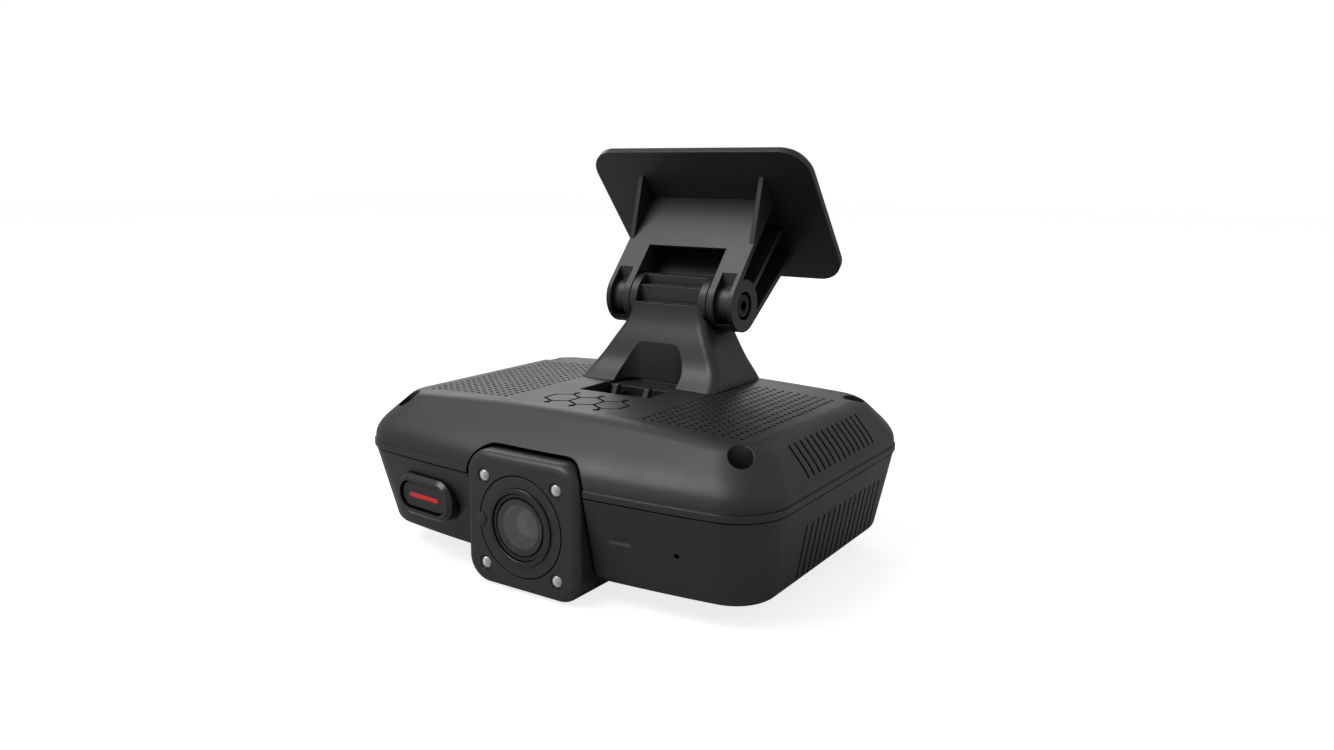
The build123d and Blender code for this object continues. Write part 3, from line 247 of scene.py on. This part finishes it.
def light_window(name, colour, glow):
    """A frosted light pipe, lit from behind, its tone and glow cloudy."""
    n = Nodes(name)
    cloud = n.noise(1.5 * MM, 3.0)
    dark = scaled(colour, 0.75)
    n.link(n.mix(cloud, dark, colour), n.shader.inputs["Base Color"])
    n.link(n.mix(cloud, dark, colour), n.shader.inputs["Emission Color"])
    n.shader.inputs["Emission Strength"].default_value = glow
    n.link(n.spread(n.noise(0.3 * MM), 0.3, 0.7, 0.28, 0.42), n.shader.inputs["Roughness"])
    n.shader.inputs["Subsurface Weight"].default_value = 0.2
    n.shader.inputs["Subsurface Scale"].default_value = 0.5 * MM
    return n.material


def circuit_board(name, mask):
    """Solder mask over copper tracks and glass weave."""
    n = Nodes(name)
    tracks = n.add("ShaderNodeTexVoronoi", feature="DISTANCE_TO_EDGE", distance="MANHATTAN")
    tracks.inputs["Scale"].default_value = 1.0 / (3.5 * MM)
    n.link(n.place(), tracks.inputs["Vector"])
    copper = n.spread(tracks.outputs["Distance"], 0.03, 0.06, 1.0, 0.0)
    n.link(n.mix(copper, mask, scaled(mask, 1.9)), n.shader.inputs["Base Color"])
    weave = n.noise(0.35 * MM)
    n.link(n.spread(weave, 0.3, 0.7, 0.3, 0.45), n.shader.inputs["Roughness"])
    n.link(n.bump(n.sum(weave, n.sum(copper, 0.5, "MULTIPLY")), 0.03 * MM, 0.5), n.shader.inputs["Normal"])
    return n.material


def foam(name):
    """Closed-cell acrylic foam."""
    n = Nodes(name)
    cells = n.add("ShaderNodeTexVoronoi")
    cells.inputs["Scale"].default_value = 1.0 / (0.45 * MM)
    n.link(n.place(), cells.inputs["Vector"])
    wall = cells.outputs["Distance"]
    n.link(n.mix(wall, grey(0.012), grey(0.035)), n.shader.inputs["Base Color"])
    n.link(n.spread(wall, 0.0, 0.7, 0.75, 0.95), n.shader.inputs["Roughness"])
    n.link(n.bump(wall, 0.08 * MM, 0.8, n.rounded_normal(0.5 * MM)), n.shader.inputs["Normal"])
    return n.material


MATERIALS = {
    "shell": moulded_plastic("housing_plastic", 0.014, 0.44, 0.30 * MM, 0.018 * MM, 0.40 * MM),
    "bracket": moulded_plastic("bracket_plastic", 0.013, 0.42, 0.34 * MM, 0.016 * MM, 0.35 * MM),
    "pod": moulded_plastic("pod_plastic", 0.018, 0.42, 0.22 * MM, 0.010 * MM, 0.25 * MM),
    "trim": moulded_plastic("trim_plastic", 0.010, 0.26, 0.20 * MM, 0.004 * MM, 0.15 * MM),
    "button_cap": moulded_plastic("button_plastic", 0.010, 0.42, 0.20 * MM, 0.006 * MM, 0.2 * MM),
    "component": moulded_plastic("component_plastic", 0.012, 0.55, 0.20 * MM, 0.008 * MM, 0.15 * MM),
    "capacitor": moulded_plastic("capacitor_sleeve", 0.03, 0.25, 0.25 * MM, 0.003 * MM, tint=1.5),
    "ceramic": moulded_plastic("antenna_ceramic", 0.45, 0.5, 0.25 * MM, 0.01 * MM, tint=-0.2),
    "rubber": moulded_plastic("rubber", 0.012, 0.75, 0.3 * MM, 0.02 * MM),
    "foam": foam("adhesive_foam"),
    "red_light": light_window("red_light", (0.42, 0.012, 0.010, 1.0), 0.55),
    "white_light": light_window("status_light", (0.085, 0.088, 0.09, 1.0), 0.0),
    # Both lens glasses carry a painted rim reflection in their base colour, from the viewing angle.
    "lens_glass": coated_glass("lens_glass", (0.80, 0.80, 0.82, 1.0), (0.72, 0.74, 0.78, 1.0), 0.95),
    "lens_element": coated_glass("lens_element", (0.012, 0.010, 0.015, 1.0), (0.040, 0.044, 0.050, 1.0), 0.1),
    "steel": satin_metal("black_steel", (0.035, 0.035, 0.037, 1.0), 0.35),
    "zinc_steel": satin_metal("zinc_steel", (0.50, 0.50, 0.52, 1.0), 0.32),
    "aluminium": satin_metal("heat_sink_aluminium", (0.55, 0.56, 0.58, 1.0), 0.4),
    "brass": satin_metal("gold_plating", (0.75, 0.55, 0.22, 1.0), 0.25),
    "circuit_board": circuit_board("circuit_board", (0.008, 0.060, 0.030, 1.0)),
}


def paint(piece, material):
    piece.data.materials.clear()
    piece.data.materials.append(material)


for entry in frame["record"]["subparts"]:
    paint(frame["nodes"][entry["node"]], MATERIALS[entry["material_slot"]])


# ---------------------------------------------------------------- fine pieces on the cameras

# Profiles are (radius, reach) pairs, and reach 0 is the face that the piece sits in.
LAMP_RADIUS = 1.5 * MM
LAMP_SEAT = 0.5 * MM
LAMP_DOME = 1.0 * MM
LAMP_RING = [
    (1.96 * MM, -1.6 * MM), (1.96 * MM, -0.18 * MM), (1.88 * MM, -0.10 * MM), (1.66 * MM, -0.10 * MM),
    (1.58 * MM, -0.18 * MM), (1.54 * MM, -1.6 * MM),
]
LAMP_CUP = [
    (0.55 * MM, -2.2 * MM), (1.50 * MM, -2.2 * MM), (1.50 * MM, -0.6 * MM), (1.40 * MM, -0.6 * MM),
    (0.85 * MM, -1.5 * MM), (0.40 * MM, -1.5 * MM), (0.40 * MM, -1.3 * MM), (0.02 * MM, -1.3 * MM),
]
LAMP_SILVER = (0.50, 0.50, 0.51, 1.0)
SEAT_DEPTH = 4.4 * MM
SEAT_STEPS = [
    (0.74, 0.0), (0.70, 0.8 * MM), (0.68, 0.8 * MM), (0.64, 0.2 * MM), (0.62, 0.2 * MM), (0.03, 0.0),
]
ELEMENT_SHARE = 0.60
ELEMENT_RISE = 1.9 * MM
KEY_RADIUS = 2.0 * MM
KEY_PROUD = 0.32 * MM
KEY_PROFILE = [(KEY_RADIUS, -0.6 * MM), (KEY_RADIUS, KEY_PROUD * 0.6), (KEY_RADIUS * 0.88, KEY_PROUD)]
KEY_SIDES = 6
SMOOTH_BELOW = math.radians(35)


def lathe(name, profile, centres, steps=64, facing=-1):
    """One turned form at each centre, about a line along Y, from (radius, reach) pairs; it faces -Y or +Y."""
    points, faces = [], []
    for centre in centres:
        first = len(points)
        for radius, reach in profile:
            for step in range(steps):
                turn = 2 * math.pi * step / steps
                spoke = Vector((radius * math.cos(turn), facing * reach, radius * math.sin(turn)))
                points.append(centre + spoke)
        for ring in range(len(profile) - 1):
            for step in range(steps):
                near = first + ring * steps + step
                far = first + ring * steps + (step + 1) % steps
                faces.append((near, near + steps, far + steps, far)[::-facing])
        faces.append(tuple(range(first, first + steps))[::-facing])
        faces.append(tuple(range(len(points) - steps, len(points)))[::facing])
    mesh = bpy.data.meshes.new(name)
    mesh.from_pydata(points, [], faces)
    mesh.shade_smooth()
    mesh.set_sharp_from_angle(angle=SMOOTH_BELOW)
    piece = bpy.data.objects.new(name, mesh)
    bpy.context.scene.collection.objects.link(piece)
    return piece


def dome(radius, height, start, steps=10):
    """Profile of a cap of a given height that starts at reach start and ends on the axis."""
    turns = [math.pi / 2 * step / steps for step in range(steps)]
    rise = [(radius * math.cos(turn), start + height * math.sin(turn)) for turn in turns]
    return rise + [(radius * ON_AXIS, start + height)]


def lamp_places():
    """Centres of the four infrared lamps on the pod's front face."""
    low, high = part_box("infrared_leds")
    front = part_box("cabin_camera_housing")[0].y
    return [
        Vector((x, front, z))
        for x in (low.x + LAMP_RADIUS, high.x - LAMP_RADIUS)
        for z in (low.z + LAMP_RADIUS, high.z - LAMP_RADIUS)
    ]


def build_lamps():
    """Each lamp is a bright cup with its chip under a clear dome, in a black ring that fills the bore."""
    rings = lathe("lamp_rings", LAMP_RING, lamp_places(), 40)
    cups = lathe("lamp_cups", LAMP_CUP, lamp_places(), 32)
    domes = lathe("lamp_domes", dome(LAMP_RADIUS, LAMP_DOME, -LAMP_SEAT), lamp_places(), 40)
    paint(rings, MATERIALS["trim"])
    paint(cups, satin_metal("lamp_silver", LAMP_SILVER, 0.25, 0.2 * MM))
    paint(domes, clear_dome("lamp_epoxy"))
    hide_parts("infrared_leds")
    for piece in (rings, cups, domes):
        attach(piece, "cabin_camera")


def build_key():
    """Six-sided locating key on the left of the lens plate."""
    low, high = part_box("cabin_lens_disc")
    centre = Vector((low.x + KEY_RADIUS * 0.85, low.y, (low.z + high.z) / 2))
    key = lathe("lens_plate_key", KEY_PROFILE, [centre], KEY_SIDES)
    paint(key, MATERIALS["pod"])
    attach(key, "cabin_camera")


def build_inner_lens(glass_node, body, facing):
    """A strongly curved inner element in its stepped black seat, seen through the flatter front glass."""
    low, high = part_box(glass_node)
    front = low.y if facing < 0 else high.y
    centre = Vector(((low.x + high.x) / 2, front, (low.z + high.z) / 2))
    radius = (high.x - low.x) / 2
    stepped = [(radius * share, rise - SEAT_DEPTH) for share, rise in SEAT_STEPS]
    curved = dome(radius * ELEMENT_SHARE, ELEMENT_RISE, 0.1 * MM - SEAT_DEPTH)
    seat = lathe(body + "_lens_seat", stepped, [centre], facing=facing)
    element = lathe(body + "_inner_lens", curved, [centre], facing=facing)
    paint(seat, MATERIALS["trim"])
    paint(element, MATERIALS["lens_element"])
    for piece in (seat, element):
        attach(piece, body)


build_inner_lens("cabin_lens_glass", "cabin_camera", -1)
build_inner_lens("road_lens_glass", "housing", 1)
build_lamps()
build_key()


# ---------------------------------------------------------------- stage

FLOOR_DROP = 0.4 * MM
FLOOR_SIZE = 6.0
FLOOR_GLOW = 0.80
FLOOR_CLOUDS = 0.4
WORLD_STRENGTH = 0.40


def floor():
    """A pale floor that looks white to the camera, so that it meets the white background without a line."""
    mesh = bpy.data.meshes.new("floor")
    half = FLOOR_SIZE / 2
    level = cad_low.z - FLOOR_DROP
    corners = [(-half, -half, level), (half, -half, level), (half, half, level), (-half, half, level)]
    mesh.from_pydata(corners, [], [(0, 1, 2, 3)])
    piece = bpy.data.objects.new("floor", mesh)
    bpy.context.scene.collection.objects.link(piece)
    n = Nodes("floor_white")
    cloud = n.noise(FLOOR_CLOUDS)
    n.link(n.mix(cloud, grey(0.42), grey(0.46)), n.shader.inputs["Base Color"])
    n.link(n.spread(cloud, 0.3, 0.7, 0.75, 0.85), n.shader.inputs["Roughness"])
    n.shader.inputs["Specular IOR Level"].default_value = 0.1
    n.shader.inputs["Emission Color"].default_value = WHITE
    path = n.add("ShaderNodeLightPath")
    n.link(n.sum(path.outputs["Is Camera Ray"], FLOOR_GLOW, "MULTIPLY"), n.shader.inputs["Emission Strength"])
    paint(piece, n.material)


def area_light(name, size, power, azimuth, elevation, distance, aim):
    """A soft box that faces aim, placed round it by azimuth (0 is -Y, 90 is +X) and elevation."""
    lamp = bpy.data.lights.new(name, "AREA")
    lamp.shape = "RECTANGLE"
    lamp.size, lamp.size_y = size
    lamp.energy = power
    a, e = math.radians(azimuth), math.radians(elevation)
    way = Vector((math.sin(a) * math.cos(e), -math.cos(a) * math.cos(e), math.sin(e)))
    holder = bpy.data.objects.new(name, lamp)
    holder.location = aim + way * distance
    holder.rotation_euler = way.to_track_quat("Z", "Y").to_euler()
    bpy.context.scene.collection.objects.link(holder)
    return holder


def world_light(strength):
    """White to the camera, and at strength as light on the object."""
    world = bpy.data.worlds.new("studio")
    bpy.context.scene.world = world
    world.use_nodes = True
    background = world.node_tree.nodes["Background"]
    background.inputs["Color"].default_value = WHITE
    path = world.node_tree.nodes.new("ShaderNodeLightPath")
    level = world.node_tree.nodes.new("ShaderNodeMix")
    level.inputs["A"].default_value = strength
    level.inputs["B"].default_value = 1.0
    world.node_tree.links.new(path.outputs["Is Camera Ray"], level.inputs["Factor"])
    world.node_tree.links.new(level.outputs["Result"], background.inputs["Strength"])


def camera(aim, yaw, pitch, roll, distance, lens):
    """Looks along yaw and pitch at aim, in degrees, from distance."""
    data = bpy.data.cameras.new("camera")
    data.lens = lens
    data.clip_start, data.clip_end = 0.01, 20.0
    y, p = math.radians(yaw), math.radians(pitch)
    forward = Vector((-math.sin(y) * math.cos(p), math.cos(y) * math.cos(p), math.sin(p)))
    holder = bpy.data.objects.new("camera", data)
    level = forward.to_track_quat("-Z", "Y").to_matrix()
    holder.matrix_world = Matrix.Translation(aim - forward * distance) @ (
        level @ Matrix.Rotation(math.radians(roll), 3, "Z")
    ).to_4x4()
    bpy.context.scene.collection.objects.link(holder)
    bpy.context.scene.camera = holder


# The camera's aim and angles in degrees, its distance in metres and its lens in millimetres
AIM = Vector((6.5 * MM, 9.1 * MM, 42.1 * MM))
YAW, PITCH, ROLL = 33.15, -11.19, 0.41
VIEW_DISTANCE = 0.290
LENS = 27.73

# Each soft box: size in metres, power in watts, azimuth, elevation, distance
SOFT_BOXES = {
    "key": ((0.7, 0.5), 5.6, -38, 55, 1.0),
    "side": ((0.35, 0.8), 0.35, 100, 25, 1.0),
    "strip": ((0.06, 0.7), 0.35, -28, 8, 0.9),
    "band": ((0.03, 0.5), 0.15, -12, 4, 0.9),
    "back": ((0.8, 0.3), 2.4, 224, 27, 1.1),
}

floor()
world_light(WORLD_STRENGTH)
for box_name, settings in SOFT_BOXES.items():
    area_light(box_name, *settings, AIM)
camera(AIM, YAW, PITCH, ROLL, VIEW_DISTANCE, LENS)
bpy.context.scene.view_settings.view_transform = "Standard"
